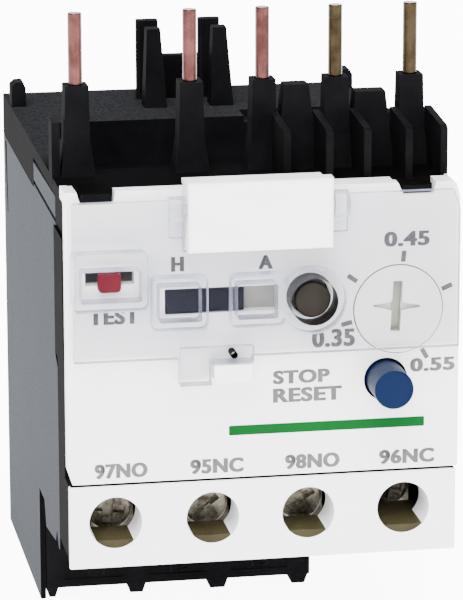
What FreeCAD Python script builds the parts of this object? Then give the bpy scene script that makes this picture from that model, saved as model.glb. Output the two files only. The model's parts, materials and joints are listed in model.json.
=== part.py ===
import FreeCAD, Part
import math
import os

os.makedirs("parts", exist_ok=True)

V = FreeCAD.Vector

# ---------------------------------------------------------------------------
# Thermal overload relay, 45 mm wide, plug-on type with five contact pins.
#
# The layout is drawn on a grid whose datum is the lower left front corner of
# the control terminal block: x to the right, y into the depth, z up.  GRID is
# the length of one grid step in millimetres and brings the body to its real
# width.  gx, gy and gz turn a grid place into the part frame (origin at the
# bottom centre of the bounding box, +Z up, front face towards -Y).  mm() gives
# a real length in grid steps, for the features with a true metric size.
# ---------------------------------------------------------------------------
BODY_WIDTH = 45.0            # mm, over the front cover
GRID_WIDTH = 45.8            # the same width in grid steps
GRID = BODY_WIDTH / GRID_WIDTH

X_LEFT, X_RIGHT = -0.6, 45.2         # front cover, left and right faces
Y_FRONT, Y_BACK = -4.85, 61.3        # reset button face, rear face
Z_FOOT, Z_PIN = -13.2, 62.0          # foot soles, pin tips

CX = (X_LEFT + X_RIGHT) / 2.0
CY = (Y_FRONT + Y_BACK) / 2.0

WALL = 1.5                   # housing wall
GAP = 0.12                   # assembly gap between fixed mouldings

Z_TERM = 9.75                # top of the terminal block face
Z_DECK = 43.3                # top deck
Z_RECESS = 37.5              # floor of the recess behind the towers
Y_RECESS = (14.5, 42.0)
Z_TOWER = 53.7               # tower tops
Y_PIN = 13.5                 # pin row
PIN_R = 0.8                  # mm, real radius of the contact pins
PIN_CORE_R = 0.62            # mm, radius of the pins inside the housing
Z_SHOULDER = 53.8            # where the pins thicken, just above the towers
PIN_X = (3.0, 16.25, 24.7, 33.25, 42.05)
POLE_X = (6.6, 16.8, 27.0)   # heater chamber centres
TERM_X = (5.28, 16.53, 27.67, 38.81)
TERM_Z = 5.3
TERM_HOLE_R = 3.05

DIAL = (38.0, 29.05)
DIAL_R = 5.12
BUTTON = (36.62, 20.79)
BUTTON_R = 2.25
CALIB = (27.65, 31.15)
HINGE = (-2.3, 42.2)         # y, z of the cover's hinge line


def gx(v):
    return (v - CX) * GRID


def gy(v):
    return (v - CY) * GRID


def gz(v):
    return (v - Z_FOOT) * GRID


def mm(v):
    return v / GRID


def bx(x0, x1, y0, y1, z0, z1):
    return Part.makeBox((x1 - x0) * GRID, (y1 - y0) * GRID, (z1 - z0) * GRID,
                        V(gx(x0), gy(y0), gz(z0)))


def cyl(axis, cx, cy, cz, r, length, r2=None):
    d = {"x": V(1, 0, 0), "y": V(0, 1, 0), "z": V(0, 0, 1)}[axis]
    p = V(gx(cx), gy(cy), gz(cz))
    if r2 is None:
        return Part.makeCylinder(r * GRID, length * GRID, p, d)
    return Part.makeCone(r * GRID, r2 * GRID, length * GRID, p, d)


def prism(axis, pts, a0, a1):
    """Polygon extruded along an axis from a0 to a1.
    x: points are (y, z); y: points are (x, z); z: points are (x, y)."""
    if axis == "x":
        vs = [V(gx(a0), gy(p), gz(q)) for p, q in pts]
        d = V((a1 - a0) * GRID, 0, 0)
    elif axis == "y":
        vs = [V(gx(p), gy(a0), gz(q)) for p, q in pts]
        d = V(0, (a1 - a0) * GRID, 0)
    else:
        vs = [V(gx(p), gy(q), gz(a0)) for p, q in pts]
        d = V(0, 0, (a1 - a0) * GRID)
    return Part.Face(Part.makePolygon(vs + [vs[0]])).extrude(d)


def frustum(x0, x1, y0, y1, z0, X0, X1, Y0, Y1, z1):
    """Block that tapers from a lower rectangle to an upper one."""
    a = Part.makePolygon([V(gx(x0), gy(y0), gz(z0)), V(gx(x1), gy(y0), gz(z0)),
                          V(gx(x1), gy(y1), gz(z0)), V(gx(x0), gy(y1), gz(z0)),
                          V(gx(x0), gy(y0), gz(z0))])
    b = Part.makePolygon([V(gx(X0), gy(Y0), gz(z1)), V(gx(X1), gy(Y0), gz(z1)),
                          V(gx(X1), gy(Y1), gz(z1)), V(gx(X0), gy(Y1), gz(z1)),
                          V(gx(X0), gy(Y0), gz(z1))])
    return Part.makeLoft([a, b], True, True)


def fuse(*shapes):
    s = shapes[0]
    if len(shapes) > 1:
        s = s.fuse(list(shapes[1:]))
    return s.removeSplitter()


def cut(a, *tools):
    return a.cut(list(tools)).removeSplitter()


def fillet(shape, r, pick):
    """Rounds the edges that pick() accepts; a set that fails is left sharp."""
    edges = [e for e in shape.Edges if pick(e)]
    if not edges:
        return shape
    try:
        out = shape.makeFillet(r, edges)
        if out.isValid() and out.Volume > 0:
            return out
    except Exception:
        pass
    good = shape
    for e in edges:
        try:
            near = [f for f in good.Edges
                    if f.CenterOfMass.distanceToPoint(e.CenterOfMass) < 1e-4]
            trial = good.makeFillet(r, near)
            if near and trial.isValid():
                good = trial
        except Exception:
            continue
    return good


def along(e, axis):
    if not hasattr(e, "Curve") or e.Curve.__class__.__name__ not in ("Line", "LineSegment"):
        return False
    d = e.lastVertex().Point.sub(e.firstVertex().Point)
    if d.Length < 1e-6:
        return False
    d.normalize()
    return abs(getattr(d, axis)) > 0.999


def near(v, w, tol=0.02):
    return abs(v - w) < tol


def save(name, *solids):
    flat = []
    for s in solids:
        flat += s.Solids
    for s in flat:
        if not s.isValid():
            print("INVALID", name)
    shape = flat[0] if len(flat) == 1 else Part.makeCompound(flat)
    shape.exportStep("parts/" + name + ".step")
    b = shape.BoundBox
    print("%-26s %2d  x %.2f..%.2f  y %.2f..%.2f  z %.2f..%.2f  %.3f cm3" % (
        name, len(flat), b.XMin, b.XMax, b.YMin, b.YMax, b.ZMin, b.ZMax,
        shape.Volume / 1000.0))
    return shape


def rod(points, r, bend=2.0):
    """Round rod bent through a list of grid points, bend radius in mm."""
    ps = [V(gx(a), gy(b), gz(c)) for a, b, c in points]
    edges, start = [], ps[0]
    for i in range(1, len(ps) - 1):
        d1 = ps[i].sub(ps[i - 1])
        d2 = ps[i + 1].sub(ps[i])
        d1.normalize()
        d2.normalize()
        phi = math.acos(max(-1.0, min(1.0, d1.dot(d2))))
        t = bend * math.tan(phi / 2)
        p1 = ps[i].sub(d1 * t)
        p2 = ps[i].add(d2 * t)
        inward = d2.sub(d1)
        inward.normalize()
        centre = ps[i].add(inward * (bend / math.cos(phi / 2)))
        middle = centre.add(inward * -bend)
        edges += [Part.makeLine(start, p1), Part.Arc(p1, middle, p2).toShape()]
        start = p2
    edges.append(Part.makeLine(start, ps[-1]))
    d = ps[1].sub(ps[0])
    face = Part.Face(Part.Wire(Part.makeCircle(r, ps[0], d)))
    return Part.Wire(edges).makePipe(face)


# ---------------------------------------------------------------------------
# Base housing: deck, towers, ribs, hooks, heater chambers, power terminals
# ---------------------------------------------------------------------------
def tower(xc, base_w, top_w, z_top, z_low=Z_RECESS):
    """Tapered tower round a pin: straight neck above a flared foot."""
    y0, y1 = 12.1, 15.0
    neck = frustum(xc - top_w / 2 - 0.12, xc + top_w / 2 + 0.12, y0, y1, z_top - 6.5,
                   xc - top_w / 2, xc + top_w / 2, y0 + 0.1, y1 - 0.1, z_top)
    body = frustum(xc - base_w / 2, xc + base_w / 2, y0 - 1.2, y1 + 0.3, z_low,
                   xc - top_w / 2 - 0.12, xc + top_w / 2 + 0.12, y0, y1, z_top - 6.5)
    return [neck, body]


def base_housing():
    solids = [
        bx(0.75, 44.4, 8.6, 61.3, 0.0, 38.2),
        bx(0.0, 44.4, 8.6, 61.3, 38.2, Z_DECK),
        bx(0.75, 33.4, 28.7, 61.3, -11.9, 0.0),
        # front wings that the covers sit against
        bx(0.0, 1.4, 1.0, 9.1, 0.9, Z_TERM),
        bx(0.35, 1.4, 1.0, 9.1, 0.0, 1.0),
        bx(0.0, 1.4, 4.0, 9.1, Z_TERM, 42.6),
        bx(0.0, 1.4, 9.0, 11.2, 22.75, 38.3),
        bx(0.0, 0.42, 1.42, 4.1, 12.4, 42.6),
        # raised block on the left flank beside the front cover
        bx(-0.35, 0.42, 1.42, 8.4, 24.5, 38.5),
        bx(43.0, 44.4, 1.0, 8.6, 0.0, Z_TERM),
        bx(43.0, 44.8, 4.0, 8.6, Z_TERM, 42.6),
        # bar under the towers
        bx(0.0, 44.5, 3.95, 15.2, 38.2, Z_DECK),
        bx(0.75, 44.5, 3.95, 15.2, 36.9, 38.3),
        # tongues that fill the two notches of the front cover
        bx(1.75, 5.25, 0.5, 4.0, 42.75, 43.7),
        bx(38.6, 41.9, 0.5, 4.0, 42.5, 43.3),
        bx(1.75, 5.25, 3.6, 6.0, 43.3, 43.7),
    ]
    body = fuse(*solids)
    # recess between the towers and the deck
    body = body.cut(bx(3.6, 44.41, Y_RECESS[0] + 0.6, Y_RECESS[1], Z_RECESS, Z_DECK + 1))
    # front cavity for the mechanism, open to the front
    body = body.cut([
        bx(1.5, 43.0, 8.5, 27.2, 1.4, 35.6),
        bx(1.4, 43.0, 0.9, 8.6, 0.9, 36.9),
        # right-hand chamber and heater chambers, open to the rear
        bx(33.4, 43.0, 27.1, 59.9, 1.4, 35.6),
    ])
    for xc in POLE_X:
        body = body.cut(bx(xc - 4.35, xc + 4.35, 30.5, 59.9, -10.4, 35.6))
        # wire slot from the pins
        body = body.cut(bx(xc - 1.6, xc + 1.6, 27.0, 30.6, 31.6, 34.8))
    body = body.cut([
        # relief under the deck
        bx(2.0, 42.4, 44.0, 59.9, 35.5, 41.8),
        # passage of the two slide bars through the chamber walls
        bx(2.0, 43.0, 37.6, 49.2, 28.6, 34.2),
        # seat of the rear cover
        bx(1.5, 43.0, 59.8, 61.4, 1.4, 41.8),
        bx(1.5, 32.4, 59.8, 61.4, -10.4, 1.5),
        # dark slot at the right front edge of the deck
        bx(27.6, 43.2, 43.4, 45.9, 42.35, Z_DECK + 0.1),
        bx(27.6, 43.2, 41.9, 43.5, 42.5, Z_DECK + 0.1),
    ])
    # partitions between the control terminals
    parts = [bx(x - 0.5, x + 0.5, 8.4, 16.5, 1.3, 9.6) for x in (10.9, 22.1, 33.2)]
    # towers and the wall that ties the right-hand group together
    for i, xc in enumerate(PIN_X):
        parts += tower(xc, 5.5 if i < 3 else 4.9, 2.72, Z_TOWER,
                       Z_RECESS if i < 3 else 42.5)
    parts += [
        frustum(25.8, 31.2, 11.1, 15.2, 42.5, 27.1, 29.9, 12.2, 14.6, 53.0),
        frustum(34.5, 39.9, 11.1, 15.2, 42.5, 35.45, 38.95, 12.2, 14.6, 51.9),
        bx(23.2, 44.5, 12.4, 14.9, 42.5, 49.3),
        bx(-0.05, 0.9, 11.6, 14.4, 42.5, 49.7),
    ]
    for xr in (25.9, 30.8, 35.2, 40.0, 44.1):
        parts.append(prism("x", [(3.95, 43.0), (12.8, 43.0), (12.8, 49.9), (4.5, 49.3),
                                 (3.95, 48.9)], xr - 0.4, xr + 0.4))
    # contactor hooks on the deck
    parts += [
        bx(16.2, 18.9, 54.4, 56.0, 43.0, 53.3),
        bx(24.05, 26.7, 54.4, 56.0, 43.0, 53.3),
        bx(18.0, 25.0, 54.5, 55.9, 43.0, 48.8),
        frustum(16.3, 19.1, 48.6, 51.6, 43.0, 16.7, 18.4, 49.4, 51.3, 53.1),
        frustum(24.6, 27.5, 48.6, 51.6, 43.0, 25.0, 26.7, 49.4, 51.3, 53.1),
        prism("y", [(0.1, 43.0), (1.9, 43.0), (1.9, 45.6), (1.6, 46.4), (0.7, 46.4), (0.1, 45.9)],
              52.4, 55.0),
        prism("y", [(42.8, 43.0), (44.3, 43.0), (44.3, 45.0), (43.9, 45.7), (43.0, 45.7)],
              57.0, 59.6),
    ]
    # feet under the power terminals
    for x0, x1 in ((0.75, 2.2), (10.75, 13.0), (20.7, 23.2), (30.9, 33.2)):
        parts.append(frustum(x0 + 0.35, x1 - 0.35, 29.2, 33.0, -13.2,
                             x0, x1, 28.7, 33.6, -11.8))
    parts.append(bx(0.9, 33.0, 57.5, 60.8, -13.2, -11.8))
    body = fuse(body, *parts)
    # step that receives the side cover
    body = body.cut(bx(-1.0, 0.75, 11.25, 61.4, 30.0, 38.2))
    # shallow pocket for the panel's upper tongue
    body = body.cut(bx(-0.1, 0.52, 9.25, 29.95, 37.95, 41.75))
    # recessed fields and latch pockets of the right flank
    body = body.cut([
        bx(44.12, 44.7, 11.5, 24.6, 4.0, 34.8),
        bx(44.12, 44.7, 25.6, 41.2, 4.0, 34.8),
        bx(44.12, 44.7, 42.2, 58.6, 4.0, 40.6),
        bx(43.65, 44.7, 14.6, 18.4, 29.4, 31.8),
        bx(43.65, 44.7, 49.0, 52.8, 29.4, 31.8),
        bx(33.1, 33.7, 31.5, 44.3, -9.8, -1.6),
        bx(33.1, 33.7, 45.3, 58.2, -9.8, -1.6),
    ])
    # pin channels
    for xc in PIN_X:
        body = body.cut(cyl("z", xc, Y_PIN, 34.0, mm(0.86), 22.0))
    # screwdriver holes and wire entries of the power terminals
    for xc in POLE_X:
        body = body.cut([cyl("y", xc, 28.5, -4.9, 3.05, 2.4),
                         bx(xc - 2.5, xc + 2.5, 31.2, 35.6, -12.0, -10.3),
                         # raised pad carrying the terminal mark
                         bx(xc - 3.6, xc + 3.6, 28.6, 28.85, -10.9, -8.6)])
    # wire entries of the control terminals, from below
    for xc in TERM_X:
        body = body.cut(bx(xc - 2.2, xc + 2.2, 8.2, 11.4, -0.1, 1.5))
    # guide pocket of the contact slider in the rear wall of the front cavity
    body = body.cut(bx(21.3, 24.2, 27.0, 28.4, 15.9, 21.1))
    # slots where the heater tails cross to the power terminals stay inside the chambers
    # spigots that hold the trip pivot
    body = body.fuse([cyl("z", 40.7, 24.5, 1.3, 2.2, 11.0),
                      bx(38.6, 43.05, 22.4, 27.3, 1.3, 10.0),
                      bx(38.6, 43.05, 22.4, 27.3, 34.0, 35.7)]).removeSplitter()
    body = body.cut([cyl("z", 40.7, 24.5, 8.0, mm(1.03), 27.0)])
    body = body.removeSplitter()
    body = fillet(body, 0.35, lambda e: along(e, "z") and e.BoundBox.ZMin > gz(42.0)
                  and e.Length > 6.0 * GRID and e.BoundBox.ZMax > gz(52.0))
    return body


# ---------------------------------------------------------------------------
# Left side cover and rear cover
# ---------------------------------------------------------------------------
def side_cover():
    outline = [(11.3, 38.1), (11.3, 22.65), (9.25, 21.4), (9.25, -0.7), (10.4, -0.7), (11.9, 1.0),
               (13.4, -0.8), (22.2, -1.9), (23.8, 1.0), (28.7, 1.0),
               (28.7, -13.2), (61.3, -13.2), (61.3, 38.1)]
    s = prism("x", outline, 0.0, 0.65)
    s = s.fuse(prism("x", [(11.3, 38.0), (29.8, 38.0), (29.8, 41.2), (9.4, 41.6), (9.4, 38.15)],
                     0.0, 0.4))
    s = s.cut([
        # shadow line between the panel and its upper tongue
        bx(-0.1, 0.22, 9.0, 30.5, 38.55, 39.05),
        # slanted ventilation slit near the rear
        prism("x", [(58.2, 37.7), (59.5, 37.7), (57.9, 28.7), (57.3, 28.7)], -0.1, 0.7),
    ])
    return fillet(s.removeSplitter(), 0.3, lambda e: along(e, "x") and e.Length > 1.0)


def rear_cover():
    # flat lid with a plug that closes each heater chamber from behind
    s = fuse(bx(1.62, 42.88, 59.95, 61.3, 1.52, 41.68),
             bx(1.62, 32.28, 59.95, 61.3, -10.28, 1.6),
             *[bx(xc - 4.05, xc + 4.05, 57.7, 60.0, -10.05, 35.2) for xc in POLE_X])
    cuts = []
    for xc in POLE_X:
        # blind cooling grooves behind each heater chamber
        for k in (-2.7, -0.9, 0.9, 2.7):
            cuts.append(bx(xc + k - 0.4, xc + k + 0.4, 60.75, 61.4, 9.0, 30.0))
        cuts.append(bx(xc - 3.4, xc + 3.4, 61.0, 61.4, -8.2, -1.0))
    # recessed field beside the chambers and two grip pockets at the top
    cuts.append(bx(33.6, 41.2, 61.0, 61.4, 4.0, 33.0))
    cuts += [bx(8.0, 12.0, 60.7, 61.4, 36.6, 38.4), bx(32.5, 36.5, 60.7, 61.4, 36.6, 38.4)]
    return s.cut(cuts).removeSplitter()


# ---------------------------------------------------------------------------
# Front cover (upper white moulding) and terminal block (lower)
# ---------------------------------------------------------------------------
SEL_SLOT = (11.1, 23.9, 29.6, 32.5)


def front_cover():
    outline = [(0.0, 10.03), (X_RIGHT, 10.03), (X_RIGHT, 41.6), (44.7, 43.4), (44.4, 43.7),
               (42.3, 43.7), (42.0, 42.35), (38.5, 42.35), (37.9, 43.75),
               (29.0, 43.9), (13.0, 44.1), (5.6, 44.1), (5.35, 42.6), (1.65, 42.6),
               (1.2, 44.1), (X_LEFT, 44.1), (X_LEFT, 11.9)]
    s = prism("y", outline, 0.0, 1.6)
    rim = prism("y", outline, 1.5, 3.8)
    rim = rim.cut(bx(0.55, 44.05, 1.4, 4.0, 9.0, 45.0))
    top = [bx(5.75, 37.6, 1.5, 3.5, 42.9, 43.7), bx(-0.6, 1.15, 1.5, 3.5, 42.9, 44.1),
           bx(42.4, 44.3, 1.5, 3.5, 42.9, 43.6)]
    s = s.fuse([rim] + top).removeSplitter()
    # floor of the selector recess
    s = s.fuse(bx(9.5, 25.5, 1.4, 2.4, 28.4, 33.7)).removeSplitter()
    s = s.cut([
        # dial, button, calibration and test openings
        cyl("y", DIAL[0], -0.1, DIAL[1], DIAL_R + 0.12, 4.0),
        cyl("y", BUTTON[0], -0.1, BUTTON[1], BUTTON_R + 0.28, 4.0),
        cyl("y", CALIB[0], -0.1, CALIB[1], 2.25, 4.0),
        bx(2.07, 7.63, -0.1, 4.0, 33.3, 34.85),
        # selector recess with the slit for its tongue
        bx(SEL_SLOT[0], SEL_SLOT[1], -0.1, 1.35, SEL_SLOT[2], SEL_SLOT[3]),
        bx(13.9, 20.15, 1.2, 2.6, 30.55, 31.6),
        # sockets for the marker tab's pegs
        bx(15.0, 17.0, 0.45, 1.15, 41.0, 45.0),
        bx(25.3, 27.3, 0.45, 1.15, 41.0, 45.0),
        # thin left edge, where the housing wing comes forward
        bx(-0.7, 0.45, 1.3, 3.9, 8.0, 42.75),
    ])
    # lug that the cover's seal passes behind
    lug = prism("y", [(16.35, 24.0), (16.35, 22.3), (16.8, 21.85), (20.35, 21.85), (20.85, 22.3),
                      (20.85, 24.0)], -2.5, 0.1)
    s = s.fuse(lug).removeSplitter()
    s = fillet(s, 0.35, lambda e: e.BoundBox.YMax < gy(0.02) and e.BoundBox.YMin > gy(-0.02)
               and (near(e.CenterOfMass.x, gx(X_LEFT)) or near(e.CenterOfMass.x, gx(X_RIGHT))))
    s = fillet(s, 0.25, lambda e: e.BoundBox.YMax < gy(-2.45) and e.BoundBox.YMin < gy(-2.4))
    return s


def terminal_block():
    s = fuse(bx(0.0, X_RIGHT - 0.2, 0.0, 0.9, 0.0, Z_TERM),
             bx(1.55, 42.85, 0.8, 5.4, 1.1, Z_TERM - 0.2))
    holes = []
    for xc in TERM_X:
        h = cyl("y", xc, -0.1, TERM_Z, TERM_HOLE_R, 6.0)
        flat = bx(xc - 3.2, xc + (2.05 if xc < 30 else 3.2), 0.1, 6.0, TERM_Z - 3.2, TERM_Z - 2.05)
        holes.append(h.cut(flat))
    s = s.cut(holes).removeSplitter()
    # the fourth terminal's ledge reaches further in
    s = s.fuse(bx(TERM_X[3] - 3.0, TERM_X[3] + 3.0, 5.3, 9.05, TERM_Z - 2.75, TERM_Z - 2.05))
    s = fillet(s.removeSplitter(), 0.25,
               lambda e: e.BoundBox.YMax < gy(0.02) and e.Length > 8.0)
    return s


# ---------------------------------------------------------------------------
# Marker tab and the clear hinged cover
# ---------------------------------------------------------------------------
def marker_tab():
    s = fuse(bx(13.2, 29.75, -4.05, -0.6, 37.45, 44.75),
             bx(13.2, 29.75, -4.05, -2.0, 44.7, 45.5),
             bx(13.5, 29.4, -0.7, 2.6, 44.2, 44.75),
             bx(15.05, 16.95, 0.5, 1.1, 42.0, 44.4),
             bx(25.35, 27.25, 0.5, 1.1, 42.0, 44.4))
    s = s.cut([cyl("x", 13.0, HINGE[0], HINGE[1], mm(0.75), 2.0),
               cyl("x", 27.3, HINGE[0], HINGE[1], mm(0.75), 2.6)])
    s = fillet(s, 0.5, lambda e: e.BoundBox.YMax < gy(-4.0))
    return s


def clear_cover():
    y0, y1 = -1.38, -0.36
    plate = prism("y", [(0.55, 24.65), (44.85, 24.65), (44.85, 40.8), (44.1, 43.0), (0.55, 43.0)],
                  y0, y1)
    plate = plate.cut(bx(13.02, 29.93, -3, 1, 37.1, 45))
    add = []
    cuts = []

    def dome(x0, x1, z0, z1, wall_l, wall_r, wall_b, wall_t):
        d = bx(x0, x1, -3.5, y1, z0, z1)
        d = fillet(d, 0.7, lambda e: along(e, "y"))
        d = fillet(d, 0.45, lambda e: e.BoundBox.YMax < gy(-3.49))
        add.append(d)
        c = bx(x0 + wall_l, x1 - wall_r, -2.75, 0.5, z0 + wall_b, z1 - wall_t)
        cuts.append(fillet(c, 0.25, lambda e: along(e, "y")))

    dome(0.35, 8.85, 30.9, 37.7, 0.95, 0.75, 1.0, 2.2)      # over the test lever
    dome(9.2, 15.6, 28.4, 34.6, 0.9, 0.7, 0.9, 1.2)         # over the H end
    dome(18.2, 24.4, 28.4, 34.5, 0.8, 0.8, 0.9, 1.2)        # over the A end
    boss = cyl("y", CALIB[0], -3.5, CALIB[1], 3.8, 3.5 + y1)
    boss = fillet(boss, 0.5, lambda e: e.BoundBox.YMax < gy(-3.49))
    add.append(boss)
    cuts.append(cyl("y", CALIB[0], -4.0, CALIB[1], 2.7, 5.0))
    # sealing tab at the lower edge
    add.append(bx(12.5, 16.05, -2.35, y1, 21.7, 25.2))
    add.append(bx(12.5, 20.9, -2.35, y1, 24.25, 26.1))
    cuts.append(cyl("y", 18.65, -4.0, 25.1, 0.4, 5.0))
    # hinge ears with stub pins
    for x0, x1, px in ((11.3, 13.0, 12.2), (29.95, 31.65, 27.65)):
        add.append(cyl("x", x0, HINGE[0], HINGE[1], 1.55, x1 - x0))
        add.append(bx(x0, x1, -2.3, y1, 40.65, 43.0))
        add.append(bx(x0, x1, -2.3, y1, 38.9, 42.2))
    add.append(cyl("x", 12.9, HINGE[0], HINGE[1], mm(0.70), 1.7))
    add.append(cyl("x", 27.7, HINGE[0], HINGE[1], mm(0.70), 2.4))
    s = fuse(plate, *add)
    s = s.cut(cuts).removeSplitter()
    return s


# ---------------------------------------------------------------------------
# Operating pieces in the front
# ---------------------------------------------------------------------------
def reset_button():
    flange = cyl("y", BUTTON[0], 2.2, BUTTON[1], 3.1, 1.1)
    flange = flange.cut(bx(30.0, 44.0, 2.0, 4.0, BUTTON[1] + 2.35, 30.0))
    s = fuse(cyl("y", BUTTON[0], Y_FRONT, BUTTON[1], BUTTON_R, 2.4 - Y_FRONT),
             flange,
             cyl("y", BUTTON[0], 3.2, BUTTON[1], mm(1.2), 17.7))
    return fillet(s, 0.18, lambda e: e.BoundBox.YMax < gy(Y_FRONT + 0.01))


def coil(cx, cz, y0, y1, r, wire, turns, steps=12):
    """Round-wire helical spring between two planes, as short straight runs."""
    h = (y1 - y0) * GRID - 2 * wire
    n = turns * steps
    pts = []
    for i in range(n + 1):
        a = 2 * math.pi * i / steps
        pts.append(V(gx(cx) + r * math.cos(a), gy(y0) + wire + h * i / n, gz(cz) + r * math.sin(a)))
    solids = []
    for i in range(n):
        d = pts[i + 1].sub(pts[i])
        solids.append(Part.makeCylinder(wire, d.Length, pts[i], d))
        if i:
            solids.append(Part.makeSphere(wire, pts[i]))
    return solids[0].fuse(solids[1:]).removeSplitter()


def dial():
    s = fuse(cyl("y", DIAL[0], -0.15, DIAL[1], DIAL_R, 2.2),
             cyl("y", DIAL[0], 1.95, DIAL[1], 5.6, 0.9),
             cyl("y", DIAL[0], 2.8, DIAL[1], mm(2.0), 7.2))
    # deep upright slot crossed by a shallow pair of tapered arms
    a, b = 37.8, 29.4
    slot = fuse(bx(a - 0.565, a + 0.565, -0.3, 1.1, b - 2.95, b + 2.95),
                prism("y", [(a - 2.7, b - 0.12), (a - 1.2, b - 0.36), (a, b - 0.7), (a + 1.2, b - 0.36),
                            (a + 2.7, b - 0.12), (a + 2.7, b + 0.12), (a + 1.2, b + 0.36), (a, b + 0.7),
                            (a - 1.2, b + 0.36), (a - 2.7, b + 0.12)], -0.3, 0.5))
    slot.rotate(V(gx(37.8), 0, gz(29.4)), V(0, 1, 0), 3.0)
    return s.cut(slot).removeSplitter()


def dial_cam():
    s = cyl("y", DIAL[0] + 0.7, 4.2, DIAL[1], 3.4, 1.6)
    return s.cut(cyl("y", DIAL[0], 4.0, DIAL[1], mm(2.0), 2.4))


def test_lever():
    head = bx(3.43, 6.03, -1.1, -0.12, 32.65, 34.75)
    head = fillet(head, 0.5, lambda e: along(e, "y") and e.CenterOfMass.z < gz(33.0))
    s = fuse(head,
             bx(3.9, 5.7, -0.2, 2.4, 33.45, 34.7),
             bx(4.0, 6.1, 1.85, 2.75, 32.2, 35.9))
    s = fillet(s, 0.2, lambda e: e.BoundBox.YMax < gy(-1.09))
    return s


def selector_slide():
    s = fuse(bx(11.2, 20.2, 0.3, 1.2, 29.7, 32.4),
             bx(11.2, 14.9, -0.2, 0.5, 29.7, 32.4),
             bx(14.2, 16.6, 1.1, 3.2, 30.65, 31.5),
             bx(13.2, 17.6, 2.55, 3.4, 29.6, 32.6))
    return s


def calibration_screw():
    head = cyl("y", CALIB[0], -2.3, CALIB[1], 2.1, 4.7)
    head = fillet(head, 0.25, lambda e: e.BoundBox.YMax < gy(-2.29))
    return fuse(head, cyl("y", CALIB[0], 2.3, CALIB[1], mm(1.25), 9.2))


def mechanism_frame():
    """Plate behind the front cover that carries the shafts and guides."""
    s = fuse(bx(1.62, 42.88, 8.8, 10.2, 14.5, 35.4),
             bx(CALIB[0] - 3.0, CALIB[0] + 3.0, 7.2, 11.2, CALIB[1] - 3.0, 35.4))
    s = s.cut([
        cyl("y", BUTTON[0], 8.0, BUTTON[1], mm(1.26), 4.0),
        cyl("y", DIAL[0], 8.0, DIAL[1], mm(2.06), 4.0),
        cyl("y", CALIB[0], 7.0, CALIB[1], mm(1.30), 5.0),
        bx(21.4, 24.1, 8.0, 11.0, 16.0, 21.0),
    ])
    return s


# ---------------------------------------------------------------------------
# Contacts
# ---------------------------------------------------------------------------
def control_screw(xc, y_head):
    head = cyl("y", xc, y_head, TERM_Z, 2.65, 1.9)
    head = fillet(head, 0.3, lambda e: e.BoundBox.YMax < gy(y_head + 0.01))
    s = fuse(head, cyl("y", xc, y_head + 1.8, TERM_Z, mm(1.7), 15.6 - (y_head + 1.8)))
    cross = fuse(bx(xc - 1.9, xc + 1.9, y_head - 0.1, y_head + 0.8, TERM_Z - 0.46, TERM_Z + 0.46),
                 bx(xc - 0.6, xc + 0.6, y_head - 0.1, y_head + 1.2, TERM_Z - 1.7, TERM_Z + 1.7))
    cross.rotate(V(gx(xc), 0, gz(TERM_Z)), V(0, 1, 0), {0: 8, 1: 55, 2: -28, 3: 15}[
        min(range(4), key=lambda i: abs(TERM_X[i] - xc))])
    return s.cut(cross).removeSplitter()


HEAD_Y = (5.7, 5.7, 5.7, 9.3)


def control_screws():
    return [control_screw(x, y) for x, y in zip(TERM_X, HEAD_Y)]


def control_clamps():
    out = []
    for xc, yh in zip(TERM_X, HEAD_Y):
        p = bx(xc - 3.1, xc + 3.1, yh + 1.95, yh + 2.85, TERM_Z - 3.0, TERM_Z + 3.0)
        out.append(p.cut(cyl("y", xc, yh, TERM_Z, mm(1.78), 5.0)))
    return out


def strip(xc, pieces):
    """Threaded terminal plate with the strip that rises from it."""
    plate = bx(xc - 3.2, xc + 3.2, 12.6, 13.8, 1.7, 9.2)
    s = fuse(plate, *pieces)
    return s.cut(cyl("y", xc, 12.0, TERM_Z, mm(1.75), 4.0)).removeSplitter()


def contact_strips():
    s97 = strip(TERM_X[0], [bx(4.3, 6.3, 13.0, 13.8, 9.0, 22.0), bx(4.3, 21.3, 13.0, 13.8, 20.0, 22.0)])
    s95 = strip(TERM_X[1], [bx(15.5, 17.5, 13.0, 13.8, 9.0, 12.0), bx(15.5, 17.5, 13.0, 20.8, 11.2, 12.0),
                            bx(15.5, 17.5, 20.0, 20.8, 11.2, 17.0), bx(15.5, 21.3, 20.0, 20.8, 15.0, 17.0)])
    s98 = strip(TERM_X[2], [bx(26.7, 28.7, 13.0, 13.8, 9.0, 22.0), bx(24.2, 28.7, 13.0, 13.8, 20.0, 22.0)])
    s96 = strip(TERM_X[3], [bx(37.8, 39.8, 13.0, 13.8, 9.0, 12.0), bx(37.8, 39.8, 13.0, 20.8, 11.2, 12.0),
                            bx(24.2, 39.8, 20.0, 20.8, 11.2, 13.2), bx(24.2, 26.2, 20.0, 20.8, 11.2, 17.0)])
    return [s97, s95, s98, s96]


def fixed_rivets():
    return [cyl("y", 20.5, 13.8, 21.0, 0.8, 0.4), cyl("y", 25.0, 13.8, 21.0, 0.8, 0.4),
            cyl("y", 20.5, 19.6, 16.0, 0.8, 0.4), cyl("y", 25.0, 19.6, 16.0, 0.8, 0.4)]


def contact_slider():
    s = fuse(bx(21.55, 23.95, 8.2, 28.1, 16.15, 20.85),
             bx(21.55, 23.95, 12.0, 22.0, 14.2, 23.2),
             bx(22.6, 27.0, 22.3, 23.8, 21.2, 26.0),
             bx(22.6, 23.95, 21.0, 23.8, 20.0, 26.0))
    s = s.cut([bx(21.0, 24.5, 18.6, 19.4, 14.9, 17.1),
               bx(21.0, 24.5, 15.85, 16.75, 19.9, 22.1)])
    return s


def contact_bridges():
    nc = fuse(bx(19.6, 25.9, 18.7, 19.2, 15.0, 17.0))
    no = fuse(bx(19.6, 25.9, 16.05, 16.55, 20.0, 22.0))
    return [nc, no]


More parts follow.
